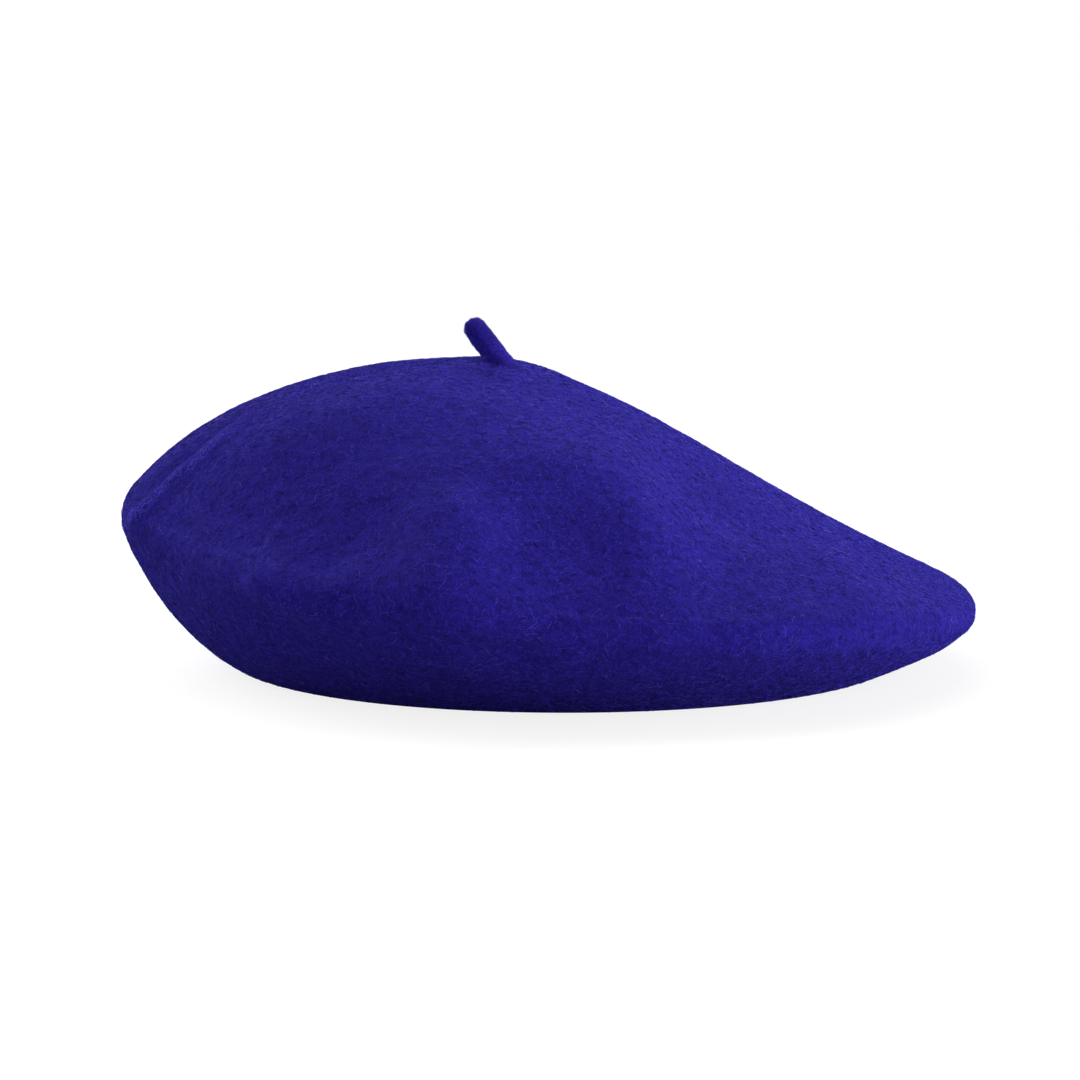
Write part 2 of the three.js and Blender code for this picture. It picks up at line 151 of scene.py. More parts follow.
def plain_felt(azimuth, along):
    """The felt without its hollows. `along` is 0 to 1 down the crown, to 2 round the fold, to 3 at
    the rim."""
    azimuth, along = np.broadcast_arrays(azimuth, along)
    edge, out = fold_edge(azimuth), outward(azimuth)
    radius = station("radius", azimuth)
    crown_slope = np.radians(station("crown_slope", azimuth))
    under_slope = np.radians(station("under_slope", azimuth))
    centre = edge - radius * out + station("height", azimuth) * UP

    def fold(angle):
        return centre + radius * (np.cos(angle) * out + np.sin(angle) * UP)

    first, last = np.pi / 2 - crown_slope, under_slope - np.pi / 2
    top = fold(first)
    length = np.linalg.norm(top - CROWN, axis=-1, keepdims=True)
    start_handle = CROWN + station("top_hold", azimuth) * length * out
    back = np.sin(crown_slope) * UP - np.cos(crown_slope) * out
    end_handle = top + station("fold_hold", azimuth) * length * back
    crown = bezier(CROWN, start_handle, end_handle, top, np.clip(along, 0, 1))
    turn = np.clip(along - 1, 0, 1)[..., None]
    middle = fold(first + (last - first) * turn)
    bottom = fold(last)
    rim = rim_point(azimuth, 0, 0)
    span = np.linalg.norm(bottom - rim, axis=-1, keepdims=True)
    away = unit((edge - rim) * (1, 1, 0))
    inward = -np.cos(under_slope) * out - np.sin(under_slope) * UP
    rise = np.cos(RIM_SLOPE) * away + np.sin(RIM_SLOPE) * UP
    under = bezier(
        bottom,
        bottom + 0.4 * span * inward,
        rim + 0.3 * span * rise,
        rim,
        np.clip(along - 2, 0, 1),
    )
    place = along[..., None]
    return np.where(place < 1, crown, np.where(place <= 2, middle, under))


def normal_of(face, azimuth, along, step=1e-3):
    """Directions out of a face at right angles to it; straight up at the crown's middle."""
    azimuth, along = np.broadcast_arrays(azimuth, along)
    at = np.clip(along, step, 3 - step)
    down = face(azimuth, at + step) - face(azimuth, at - step)
    around = face(azimuth + step, at) - face(azimuth - step, at)
    return np.where((along < 2 * step)[..., None], UP, unit(np.cross(down, around)))


def bump_at(value, middle, reach):
    """A smooth rise from 0 to 1 and back where a value passes its middle."""
    return np.exp(-(((value - middle) / reach) ** 2))


def distance_to(through, points):
    """How far each point lies from a line through a few points."""
    nodes = np.array(through, float)
    if len(nodes) == 1:
        return np.linalg.norm(points - nodes[0], axis=-1)
    distances = []
    for start, end in zip(nodes[:-1], nodes[1:]):
        line = end - start
        share = np.clip((points - start) @ line / (line @ line), 0, 1)
        distances.append(np.linalg.norm(points - start - share[..., None] * line, axis=-1))
    return np.min(distances, axis=0)


def sink(points):
    """How far the felt sinks at each point."""
    total = np.zeros(points.shape[:-1])
    for through, reach, depth in HOLLOWS:
        total += depth * bump_at(distance_to(through, points), 0, reach)
    return total


def sink_direction(azimuth, along):
    """Inward, and across the fold mostly level, so that the fold stays round."""
    from_fold = np.minimum(1, np.abs(along - 1.5) / FOLD_REACH)
    level = 2 * np.cos(from_fold * np.pi / 2)[..., None] ** 2
    return -unit(normal_of(plain_felt, azimuth, along) + level * outward(azimuth))


def layer(azimuth, along, depth):
    """Points `depth` inside the felt's outer face. The hollows fade out near the rim."""
    azimuth, along = np.broadcast_arrays(azimuth, along)
    points = plain_felt(azimuth, along)
    sunk = sink(points) * np.clip((3 - along) / RIM_HOLD, 0, 1)
    points = points + sunk[..., None] * sink_direction(azimuth, along)
    return points - depth * normal_of(plain_felt, azimuth, along)


def felt_face(azimuth, along):
    """The felt's outer face."""
    return layer(azimuth, along, 0.0)


# ---- Meshes ----


def mesh_object(name, points, faces, body, slot=None, smooth=True):
    """A piece from points in millimetres."""
    mesh = bpy.data.meshes.new(name)
    mesh.from_pydata((np.asarray(points) * MM).tolist(), [], faces)
    mesh.update()
    if smooth:
        mesh.polygons.foreach_set("use_smooth", [True] * len(mesh.polygons))
    piece = bpy.data.objects.new(name, mesh)
    bpy.context.collection.objects.link(piece)
    if body:
        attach(piece, body)
    return piece


def ring_faces(rows, around, closed=False, first=0, flip=False):
    """Quads between rows of points, each row a closed ring of `around` points."""
    here = np.arange(rows * around).reshape(rows, around)
    below = np.roll(here, -1, axis=0)
    if not closed:
        here, below = here[:-1], below[:-1]
    quads = np.stack([here, below, np.roll(below, -1, 1), np.roll(here, -1, 1)], -1)
    if flip:
        quads = quads[..., ::-1]
    return (quads.reshape(-1, 4) + first).tolist()


def skin_object(name, rows, body, slot, pole_rows=()):
    """A closed skin from rows of points, (rows, around, 3); each pole row becomes one point."""
    count, around = rows.shape[:2]
    closed = not pole_rows
    index = np.arange(count * around).reshape(count, around)
    for row in pole_rows:
        index[row] = index[row, 0]
    faces = []
    for face in ring_faces(count, around, closed):
        corners = index.reshape(-1)[face].tolist()
        kept = [c for k, c in enumerate(corners) if c != corners[k - 1]]
        faces.append(kept)
    used = np.unique(np.concatenate([np.array(f) for f in faces]))
    renumber = np.full(count * around, -1)
    renumber[used] = np.arange(len(used))
    faces = [[int(renumber[c]) for c in f] for f in faces]
    return mesh_object(name, rows.reshape(-1, 3)[used], faces, body, slot)


def azimuths(around):
    """Evenly spaced angles round a full circle."""
    return np.linspace(0, 2 * np.pi, around, endpoint=False)


# ---- Cloth, thread and fibre shapes ----


def tubes(paths, aside, radii, sides=6):
    """Points and faces of one closed tube round each path; paths are (count, steps, 3)."""
    count, steps = paths.shape[:2]
    ahead = unit(np.gradient(paths, axis=1))
    across = unit(np.cross(ahead, np.broadcast_to(aside[:, None], paths.shape)))
    third = np.cross(ahead, across)
    angle = azimuths(sides)[:, None]
    spokes = np.cos(angle) * across[:, :, None] + np.sin(angle) * third[:, :, None]
    points = paths[:, :, None] + np.asarray(radii)[..., None, None] * spokes
    first = (np.arange(count) * steps * sides)[:, None, None]
    one = np.array(ring_faces(steps, sides, flip=True))
    walls = (one[None] + first).reshape(-1, 4).tolist()
    ends = np.array([np.arange(sides), np.arange(sides)[::-1] + (steps - 1) * sides])
    ends = (ends[None] + first).reshape(-1, sides).tolist()
    return points.reshape(-1, 3), walls + ends


def sheet(grid, thickness, closed=False):
    """Points and faces of a closed cloth of even thickness round a grid of middle points."""
    down, across = np.gradient(grid, axis=0), np.gradient(grid, axis=1)
    if closed:
        down = np.roll(grid, -1, axis=0) - np.roll(grid, 1, axis=0)
    half = unit(np.cross(down, across)) * thickness / 2
    loops = np.concatenate([grid + half, (grid - half)[:, ::-1]], axis=1)
    rows, around = loops.shape[:2]
    faces = ring_faces(rows, around, closed, flip=True)
    if not closed:
        faces.append(list(range(around)))
        faces.append(list(range((rows - 1) * around, rows * around))[::-1])
    return loops.reshape(-1, 3), faces


def joined(shapes):
    """One set of points and faces from several."""
    points, faces, first = [], [], 0
    for some_points, some_faces in shapes:
        points.append(some_points)
        faces += [[corner + first for corner in face] for face in some_faces]
        first += len(some_points)
    return np.concatenate(points), faces


def stitches(path, into, length, pitch, radius, closed=True):
    """Separate stitches along a path; each one dips into the cloth at both ends."""
    if closed:
        path, into = np.concatenate([path, path[:1]]), np.concatenate([into, into[:1]])
    travelled = np.concatenate([[0], np.cumsum(np.linalg.norm(np.diff(path, axis=0), axis=-1))])
    count = int(travelled[-1] / pitch)
    middles = (np.arange(count) + 0.5) * travelled[-1] / count
    across = np.linspace(-0.5, 0.5, 7)
    at = np.clip(middles[:, None] + across * length, 0, travelled[-1])
    places = np.stack([np.interp(at, travelled, path[:, k]) for k in range(3)], -1)
    inward = np.stack([np.interp(at, travelled, into[:, k]) for k in range(3)], -1)
    places = places + (2.4 * radius * (2 * np.abs(across)) ** 4)[:, None] * inward
    swell = radius * np.array([0.55, 0.95, 1.05, 1.0, 1.05, 0.95, 0.55])
    return tubes(places, inward[:, len(swell) // 2], swell)


def smooth_line(points, count, closed=False):
    """Points along a smooth curve through a few points."""
    points = np.array(points, float)
    size = len(points)
    turns = np.linspace(0, size if closed else size - 1, count, endpoint=not closed)
    index = np.minimum(np.floor(turns).astype(int), size - 1 if closed else size - 2)
    t = (turns - index)[:, None]
    near = [index + k for k in (-1, 0, 1, 2)]
    near = [n % size if closed else np.clip(n, 0, size - 1) for n in near]
    return smooth_between(*(points[n] for n in near), t)


# ---- Materials ----


def opaque(colour):
    """A colour with its alpha, unless it is a socket."""
    return (*colour, 1.0) if isinstance(colour, tuple) else colour


class Nodes:
    """A short way to write the node tree of a material or of the world."""

    def __init__(self, owner, shader="Principled BSDF"):
        owner.use_nodes = True
        self.owner = owner
        self.tree = owner.node_tree
        self.shader = self.tree.nodes[shader]

    def add(self, kind, values=None, **settings):
        node = self.tree.nodes.new("ShaderNode" + kind)
        for key, value in settings.items():
            setattr(node, key, value)
        for key, value in (values or {}).items():
            self.put(node, key, value)
        return node

    def put(self, node, key, value):
        """Gives a node's input a value, or links it to another node's output."""
        socket = node.inputs[key]
        if isinstance(value, bpy.types.NodeSocket):
            self.tree.links.new(value, socket)
        else:
            socket.default_value = value

    def set(self, **values):
        for key, value in values.items():
            self.put(self.shader, key.replace("_", " "), value)

    def place(self):
        """The place on the piece, in metres, so a noise's scale counts its waves in a metre."""
        return self.add("TexCoord").outputs["Object"]

    def noise(self, scale, detail=2.0, distortion=0.0):
        values = {"Scale": scale, "Detail": detail, "Distortion": distortion}
        return self.add("TexNoise", {**values, "Vector": self.place()}).outputs["Fac"]

    def wave(self, scale, distortion=0.0, direction="X"):
        """Parallel ribs."""
        values = {"Scale": scale, "Distortion": distortion, "Vector": self.place()}
        return self.add("TexWave", values, bands_direction=direction).outputs["Fac"]

    def math(self, operation, *values):
        return self.add("Math", dict(enumerate(values)), operation=operation).outputs[0]

    def scaled(self, value, scale, base):
        """A value times a scale, on top of a base."""
        return self.math("MULTIPLY_ADD", value, scale, base)

    def ramp(self, value, low, high, start=0.0, end=1.0):
        """From start to end as a value goes from low to high."""
        values = {"Value": value, "From Min": low, "From Max": high, "To Min": start, "To Max": end}
        return self.add("MapRange", values).outputs[0]

    def mix(self, factor, first, second):
        """Between two colours, each of three numbers or a socket."""
        values = {0: factor, 6: opaque(first), 7: opaque(second)}
        return self.add("Mix", values, data_type="RGBA").outputs[2]

    def bump(self, height, strength, distance):
        values = {"Height": height, "Strength": strength, "Distance": distance}
        return self.add("Bump", values).outputs[0]

    def curls(self, scale, width, distortion):
        """Thin curly lines, as of fibres, where a folded noise crosses its middle."""
        middle = self.math("SUBTRACT", self.noise(scale, 1.0, distortion), 0.5)
        folded = self.math("ABSOLUTE", middle)
        return self.ramp(folded, 0.0, width, 1.0, 0.0)


def material_nodes(name):
    """The nodes of a new material."""
    return Nodes(bpy.data.materials.new(name))


def felt_material():
    """Fulled wool: curly fibres over soft tufts, paler in clouds where it is worn."""
    light, dark = (0.029, 0.019, 0.36), (0.0105, 0.0062, 0.15)
    nodes = material_nodes("felt_blue")
    fibres = nodes.math("MAXIMUM", nodes.curls(520, 0.05, 2.5), nodes.curls(900, 0.07, 2.0))
    tufts = nodes.noise(330, 3.0, 1.0)
    shade = nodes.scaled(fibres, 0.35, nodes.ramp(tufts, 0.3, 0.7, 0.0, 0.65))
    clouds = nodes.ramp(nodes.noise(60, 3.0), 0.35, 0.65, 0.0, 0.25)
    colour = nodes.mix(clouds, nodes.mix(shade, dark, light), light)
    normal = nodes.bump(nodes.scaled(fibres, 0.5, tufts), 0.6, 0.0004)
    nodes.set(Base_Color=colour, Roughness=0.95, Specular_IOR_Level=0.05, Normal=normal)
    nodes.set(Sheen_Weight=0.12, Sheen_Roughness=0.4, Sheen_Tint=(0.25, 0.22, 1.0, 1.0))
    return nodes.owner


def nap_material():
    """Fibres of the nap, each of its own shade, in tufts, and lighter along the crease ridge, where
    a highlight is painted.
    """
    dark, light, highlight = (0.006, 0.004, 0.085), (0.058, 0.039, 0.58), (0.125, 0.10, 0.85)
    nodes = material_nodes("nap_blue")
    chance = nodes.math("MULTIPLY", nodes.add("HairInfo").outputs["Random"], 0.5)
    tufts = nodes.ramp(nodes.noise(640, 2.0, 0.8), 0.42, 0.58, 0.0, 0.7)
    colour = nodes.mix(nodes.math("ADD", chance, tufts), dark, light)
    crease_highlight = nodes.add("Attribute", attribute_name="crease_highlight").outputs["Fac"]
    # Painted highlight: the nap is lightened along the crease ridge.
    colour = nodes.mix(crease_highlight, colour, highlight)
    nodes.set(Base_Color=colour, Roughness=0.9, Specular_IOR_Level=0.1)
    return nodes.owner


def stray_material(name, dark, light):
    """Loose fibres, their shade changing from one to the next."""
    nodes = material_nodes(name)
    colour = nodes.mix(nodes.ramp(nodes.noise(160), 0.35, 0.65), dark, light)
    rough = nodes.ramp(nodes.noise(400, 1.0), 0.3, 0.7, 0.7, 0.9)
    nodes.set(Base_Color=colour, Roughness=rough, Specular_IOR_Level=0.15)
    return nodes.owner


def satin_material():
    """Acetate lining: a fine twill with a soft sheen."""
    dark, light = (0.010, 0.011, 0.075), (0.016, 0.018, 0.105)
    nodes = material_nodes("satin_blue")
    colour = nodes.mix(nodes.ramp(nodes.noise(35), 0.35, 0.65), dark, light)
    fine = nodes.noise(700)
    twill = nodes.wave(900, direction="DIAGONAL")
    normal = nodes.bump(nodes.scaled(twill, 0.6, fine), 0.25, 0.0001)
    rough = nodes.ramp(fine, 0.3, 0.7, 0.32, 0.46)
    nodes.set(Base_Color=colour, Roughness=rough, Normal=normal)
    nodes.set(Sheen_Weight=0.3, Sheen_Roughness=0.3, Sheen_Tint=(0.5, 0.5, 0.9, 1.0))
    return nodes.owner


def leather_material():
    """Dark brown leather with a fine pebbled grain and a few scuffs."""
    groove, pebble, scuffed = (0.010, 0.006, 0.004), (0.032, 0.017, 0.010), (0.070, 0.040, 0.024)
    nodes = material_nodes("leather_brown")
    values = {"Scale": 1300.0, "Vector": nodes.place()}
    cells = nodes.add("TexVoronoi", values, feature="DISTANCE_TO_EDGE").outputs["Distance"]
    grain = nodes.ramp(cells, 0.0, 0.22)
    scuffs = nodes.ramp(nodes.noise(90, 4.0, 0.6), 0.52, 0.75)
    base = nodes.mix(grain, groove, pebble)
    colour = nodes.mix(nodes.math("MULTIPLY", scuffs, 0.4), base, scuffed)
    rough = nodes.scaled(scuffs, 0.2, nodes.ramp(grain, 0.0, 1.0, 0.62, 0.42))
    nodes.set(Base_Color=colour, Roughness=rough, Normal=nodes.bump(grain, 0.5, 0.00012))
    return nodes.owner


def ribbon_material():
    """Grosgrain: fine ribs across the ribbon."""
    dark, light = (0.004, 0.004, 0.010), (0.012, 0.012, 0.026)
    nodes = material_nodes("ribbon_navy")
    ribs = nodes.wave(420, 0.3)
    rough = nodes.ramp(nodes.noise(600), 0.3, 0.7, 0.45, 0.6)
    normal = nodes.bump(ribs, 0.5, 0.00015)
    nodes.set(Base_Color=nodes.mix(ribs, dark, light), Roughness=rough, Normal=normal)
    nodes.set(Sheen_Weight=0.25, Sheen_Roughness=0.35)
    return nodes.owner


def thread_material():
    """Spun thread with its twist."""
    dark, light = (0.008, 0.007, 0.070), (0.022, 0.019, 0.160)
    nodes = material_nodes("thread_blue")
    twist = nodes.wave(1500, direction="DIAGONAL")
    rough = nodes.ramp(nodes.noise(900), 0.3, 0.7, 0.6, 0.8)
    normal = nodes.bump(twist, 0.6, 0.00008)
    nodes.set(Base_Color=nodes.mix(twist, dark, light), Roughness=rough, Normal=normal)
    return nodes.owner


def label_material():
    """Woven label cloth: warp and weft at right angles."""
    cream, white, crossing = (0.66, 0.64, 0.58), (0.76, 0.74, 0.69), (0.50, 0.48, 0.43)
    nodes = material_nodes("label_white")
    warp, weft = nodes.wave(800, direction="Z"), nodes.wave(800)
    weave = nodes.math("MULTIPLY", warp, weft)
    base = nodes.mix(nodes.ramp(nodes.noise(120, 3.0), 0.35, 0.65), cream, white)
    colour = nodes.mix(nodes.math("MULTIPLY", weave, 0.35), base, crossing)
    rough = nodes.ramp(weave, 0.0, 1.0, 0.75, 0.55)
    nodes.set(Base_Color=colour, Roughness=rough, Normal=nodes.bump(weave, 0.4, 0.0001))
    return nodes.owner


felt_blue = felt_material()
nap_blue = nap_material()
stray_blue = stray_material("stray_blue", (0.050, 0.038, 0.45), (0.19, 0.16, 0.85))
stalk_nap_blue = stray_material("stalk_nap_blue", (0.012, 0.008, 0.15), (0.062, 0.041, 0.58))
satin_blue = satin_material()
leather_brown = leather_material()
ribbon_navy = ribbon_material()
thread_blue = thread_material()
label_white = label_material()


# ---- The felt body ----
FELT_AROUND = 480
FELT_ROWS = 186
CROWN_SHARE, FOLD_SHARE = 0.62, 0.14  # of those rows
INNER_ROWS = 14
NEAR_RIM = 2.88  # below this the inner layers run straight to their lower edges
ROUGHNESS = ((0.16, 7, 1), (0.10, 3, 2))  # each one's height, size and seed


def lumps(points, scale, seed):
    """Smooth random values, one for each point; scale is the lump's size in millimetres."""
    shift = Vector((seed * 17.3, seed * 5.1, seed * 9.7))
    flat = points.reshape(-1, 3)
    values = [noise.noise(Vector(p) / scale + shift) for p in flat.tolist()]
    return np.array(values).reshape(points.shape[:-1])


def felt_rows():
    """The felt's outer face, its directions out, and the whole skin's rows."""
    azimuth = azimuths(FELT_AROUND)[None, :]
    crown = np.linspace(0, 1, int(FELT_ROWS * CROWN_SHARE), endpoint=False)
    fold = np.linspace(1, 2, int(FELT_ROWS * FOLD_SHARE), endpoint=False)
    under = np.linspace(2, 3, FELT_ROWS - len(crown) - len(fold))
    along = np.concatenate([crown, fold, under])[:, None]
    outer = felt_face(azimuth, along)
    out = normal_of(felt_face, azimuth, along)
    rough = sum(height * lumps(outer, size, seed) for height, size, seed in ROUGHNESS)
    fade = np.clip((3 - along) / 0.1, 0, 1)
    outer = outer + (rough * fade)[..., None] * out
    inner = layer(azimuth, np.linspace(NEAR_RIM, 0, INNER_ROWS)[:, None], FELT)
    edge = rim_point(azimuth, FELT + RIM_CLEARANCE, 0)
    return outer, out, np.concatenate([outer, edge, inner])


felt_outer, felt_out, felt_points = felt_rows()
felt_body = skin_object("felt_skin", felt_points, "beret", "felt", pole_rows=(0, -1))
felt_body.data.materials.append(felt_blue)
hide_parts("felt_body")


def along_at(azimuth, distance):
    """Where on the crown the felt is a level distance away from its middle."""
    along = np.linspace(0, 0.6, 61)
    places = plain_felt(azimuth, along) - CROWN
    return np.interp(distance, np.linalg.norm(places[:, :2], axis=-1), along)


# ---- The stalk ----
STALK_AXIS = np.array([(-15.3, 0, 89.6), (-16.8, 0, 92.0), (-19.3, 0, 95.0), (-21.4, 0, 98.0)])
STALK_RADIUS = 3.4
STALK_TIP_RADIUS = 3.2
STALK_AROUND = 40
COLLAR = 0.3  # how far up the axis the flare ends
# How far the flare spreads: all round, how much that shifts away from the lean, and its tail.
STALK_SPREAD, STALK_SHIFT, STALK_TAIL = 6.8, 2.2, 2.0
ROOT_DEPTH = 0.2  # how deep in the felt the flare starts
SIDEWAYS = np.array([0.0, 1.0, 0.0])


def stalk_axis(t):
    return bezier(*STALK_AXIS, np.array(t, float))


def stalk_ring(t, radius, lift=0.0):
    """A ring round the stalk's axis, pushed along it by `lift`, with the ring's direction."""
    ahead = unit(stalk_axis(min(t + 0.01, 1.0)) - stalk_axis(min(t, 0.99)))
    third = np.cross(SIDEWAYS, ahead)
    angle = azimuths(STALK_AROUND)[:, None]
    spokes = np.cos(angle) * third + np.sin(angle) * SIDEWAYS
    return stalk_axis(t) + lift * ahead + radius * spokes, ahead


def stalk_rows():
    """The root spreads over the felt, more on the side away from the lean, and the tip is round."""
    angle = azimuths(STALK_AROUND)
    behind = np.maximum(np.cos(angle), 0)
    spread = STALK_SPREAD + STALK_SHIFT * np.cos(angle) + STALK_TAIL * behind
    along = np.array([along_at(a, d) for a, d in zip(angle, spread)])
    root = layer(angle, along, ROOT_DEPTH)
    collar, ahead = stalk_ring(COLLAR, STALK_RADIUS)
    reach = np.linalg.norm(collar - root, axis=-1, keepdims=True)
    inward = collar - root - (collar - root) @ UP[:, None] * UP
    inward *= (0.75 - 0.45 * behind)[:, None]
    rows = [np.repeat(stalk_axis([0.0]) - 2.0 * UP, STALK_AROUND, 0), root - 1.0 * UP]
    for share in np.linspace(0, 1, 9, endpoint=False):
        t = np.full(STALK_AROUND, share)
        rows.append(bezier(root, root + inward, collar - 0.35 * reach * ahead, collar, t))
    for t in np.linspace(COLLAR, 1, 9):
        rows.append(stalk_ring(t, STALK_RADIUS + (STALK_TIP_RADIUS - STALK_RADIUS) * t**3)[0])
    for turn in np.linspace(0, math.pi / 2, 8)[1:]:
        radius = STALK_TIP_RADIUS * math.cos(turn)
        rows.append(stalk_ring(1.0, radius, STALK_TIP_RADIUS * math.sin(turn))[0])
    rows = np.array(rows)
    middle = rows.mean(axis=1, keepdims=True)
    shown = slice(2, -1)
    rough = 0.12 * lumps(rows[shown], 1.6, 5)[..., None]
    rows[shown] += unit(rows[shown] - middle[shown]) * rough
    return rows[::-1]


stalk_points = stalk_rows()
stalk = skin_object("stalk_felt", stalk_points, None, "felt", pole_rows=(0, -1))
stalk.data.materials.append(felt_blue)
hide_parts("stalk")
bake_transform(stalk)

# ---- The nap ----
# Each kind of fibre: how many, the seed of its random draws, its length and rise in millimetres,
# the points along it, and how far it bends aside for its length.
NAP = {
    "count": 180_000, "seed": 3, "length": (0.5, 1.8), "lift": (0.1, 0.5), "steps": 4, "curl": 0.6,
}
STRAYS = {
    "count": 6_000, "seed": 4, "length": (0.8, 3.2), "lift": (0.3, 0.8), "steps": 5, "curl": 0.6,
}
STALK_NAP = {
    "count": 2_600, "seed": 6, "length": (0.5, 1.5), "lift": (0.1, 0.4), "steps": 4, "curl": 0.4,
}
NAP_RADIUS, STRAY_RADIUS, STALK_NAP_RADIUS = 0.06, 0.035, 0.04
FLOOR_CLEARANCE = 0.1  # fibres that reach lower are left out

# The painted highlight along the crease ridge: azimuth in degrees and place along the section.
CREASE_HIGHLIGHT_LINE = (
    (195.2, 1.30), (196.8, 0.99), (197.2, 0.93), (198.5, 0.865),
    (199.4, 0.80), (199.4, 0.73), (198.5, 0.667), (196.5, 0.60),
)
CREASE_HIGHLIGHT_REACH = 2.4
CREASE_HIGHLIGHT_FADE = 24.0  # over how many millimetres the painted highlight starts at the line's upper end


def painted_crease_highlight(points):
    """How strongly the painted highlight on the crease ridge lightens the nap at each point, from 0
    to 1.
    """
    azimuth, along = smooth_line(CREASE_HIGHLIGHT_LINE, 40).T
    line = felt_face(np.radians(azimuth), along)
    across = bump_at(distance_to(line, points), 0, CREASE_HIGHLIGHT_REACH)
    return across * np.clip(np.linalg.norm(points - line[-1], axis=-1) / CREASE_HIGHLIGHT_FADE, 0, 1)


def nap_places(face, outward, count, random):
    """Random places on a face given by rows, with the directions out, down and level there."""
    across = np.roll(face, -1, axis=1) - face
    down = np.diff(face, axis=0)
    area = np.linalg.norm(np.cross(across[:-1], down), axis=-1)
    share = np.cumsum(area.ravel()) / area.sum()
    row, column = np.divmod(np.searchsorted(share, random.random(count)), face.shape[1])
    u, v = random.random((2, count, 1))
    point = face[row, column] + u * across[row, column] + v * down[row, column]
    return point, outward[row, column], unit(down[row, column]), unit(across[row, column])


def nap_paths(face, outward, count, seed, length, lift, steps, curl):
    """Curved paths of fibres that lie on a face, (count, steps, 3), and the directions out."""
    random = np.random.default_rng(seed)
    point, out, down, level = nap_places(face, outward, count, random)
    wide_swirl, small_swirl = 1.3 * lumps(point, 18, 21), 1.5 * lumps(point, 4, 22)
    turn = wide_swirl + small_swirl + random.normal(0, 1.5, count)
    turn += np.pi * (random.random(count) < 0.5)
    ahead = np.cos(turn)[:, None] * down + np.sin(turn)[:, None] * level
    aside = np.cross(out, ahead)
    size = random.uniform(*length, (count, 1))
    rise = random.uniform(*lift, (count, 1))
    bend = random.normal(0, curl, (count, 1))
    paths = []
    for t in np.linspace(0, 1, steps):
        height = rise * (math.sin(math.pi * (0.15 + 0.6 * t)) - 0.35)
        paths.append(point + size * (t * ahead + bend * t**2 * aside) + height * out)
    paths = np.stack(paths, 1)
    above = paths[..., 2].min(axis=1) > FLOOR_CLEARANCE
    return paths[above], out[above]


def nap_hair():
    """Short fine fibres all over the felt, as hair."""
    paths, _ = nap_paths(felt_outer, felt_out, **NAP)
    count, steps = paths.shape[:2]
    hair = bpy.data.hair_curves.new("nap")
    hair.add_curves([steps] * count)
    positions = (paths * MM).astype(np.float32).ravel()
    hair.attributes["position"].data.foreach_set("vector", positions)
    thickness = hair.attributes.get("radius") or hair.attributes.new("radius", "FLOAT", "POINT")
    taper = np.linspace(1, 0.4, steps) * NAP_RADIUS * MM
    thickness.data.foreach_set("value", np.tile(taper, count).astype(np.float32))
    # The painted highlight along the crease ridge, one value for each fibre.
    crease_highlight = hair.attributes.new("crease_highlight", "FLOAT", "CURVE")
    crease_highlight.data.foreach_set("value", painted_crease_highlight(paths[:, 0]).astype(np.float32))
    hair.materials.append(nap_blue)
    fibres = bpy.data.objects.new("nap", hair)
    bpy.context.collection.objects.link(fibres)
    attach(fibres, "beret")


def stray_fibres():
    """Longer pale fibres that have worked loose, as a mesh."""
    paths, out = nap_paths(felt_outer, felt_out, **STRAYS)
    shape = tubes(paths, out, STRAY_RADIUS * np.linspace(1, 0.5, STRAYS["steps"]), sides=3)
    fibres = mesh_object("felt_stray_fibres", *shape, "beret", "felt")
    fibres.data.materials.append(stray_blue)


def stalk_fibres():
    """Short fibres on the stalk."""
    across = np.roll(stalk_points, -1, axis=1) - np.roll(stalk_points, 1, axis=1)
    outward = unit(np.cross(across, np.gradient(stalk_points, axis=0)))
    outward *= np.sign(np.sum(outward * (stalk_points - stalk_axis([0.5])), axis=-1).mean())
    shown = slice(1, -2)
    paths, out = nap_paths(stalk_points[shown], outward[shown], **STALK_NAP)
    shape = tubes(paths, out, STALK_NAP_RADIUS * np.linspace(1, 0.5, STALK_NAP["steps"]), sides=3)
    fibres = mesh_object("stalk_fibres", *shape, None, "felt")
    fibres.data.materials.append(stalk_nap_blue)
    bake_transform(fibres)


nap_hair()
stray_fibres()
stalk_fibres()

# ---- Lining ----
LINING_AROUND = 360
LINING_TIP_ROWS, LINING_SIDE_ROWS = 70, 60
SEAM_AROUND = 720
THREAD_RADIUS = 0.25
SEAM = 1.5  # half way round the fold
SEAM_HALF = 0.05
TUCK_HEIGHT = 1.0  # where the lining's lower edge ends behind the sweatband


def gathers(azimuth, along, seed):
    """Pleats of the lining where it is gathered into its seam, fading away from it."""
    wander = 2.2 * np.sin(3 * azimuth + seed) + 1.3 * np.sin(7 * azimuth + 2 * seed)
    pleats = np.sin(64 * azimuth + wander) + 0.5 * np.sin(101 * azimuth - wander)
    return pleats * np.exp(-np.abs(along - SEAM) / 0.28)


def lining_skin(name, first, last, count, seed, tucked=False):
    """One panel of the lining: a thin cloth with two faces inside the felt."""
    azimuth = azimuths(LINING_AROUND)[None, :]
    along = np.linspace(first, last, count)[:, None]
    middle = layer(azimuth, along, LINING_DEPTH + LINING / 2)
    out = normal_of(felt_face, azimuth, along)
    slack = 0.28 * gathers(azimuth, along, seed) + np.minimum(0.9 * lumps(middle, 24, 8), 0.2)
    middle = middle + slack[..., None] * out
    half = LINING / 2 * out
    outside, inside = list(middle + half), list(middle - half)
    if tucked:
        inset = FELT + RIM_CLEARANCE + GAP
        outside.append(rim_point(azimuth[0], inset, TUCK_HEIGHT))
        inside.append(rim_point(azimuth[0], inset + LINING, TUCK_HEIGHT))
    poles = () if tucked else (0, -1)
    rows = np.array(outside + inside[::-1])
    lining = skin_object(name, rows, "beret", "lining", pole_rows=poles)
    lining.data.materials.append(satin_blue)
    return lining


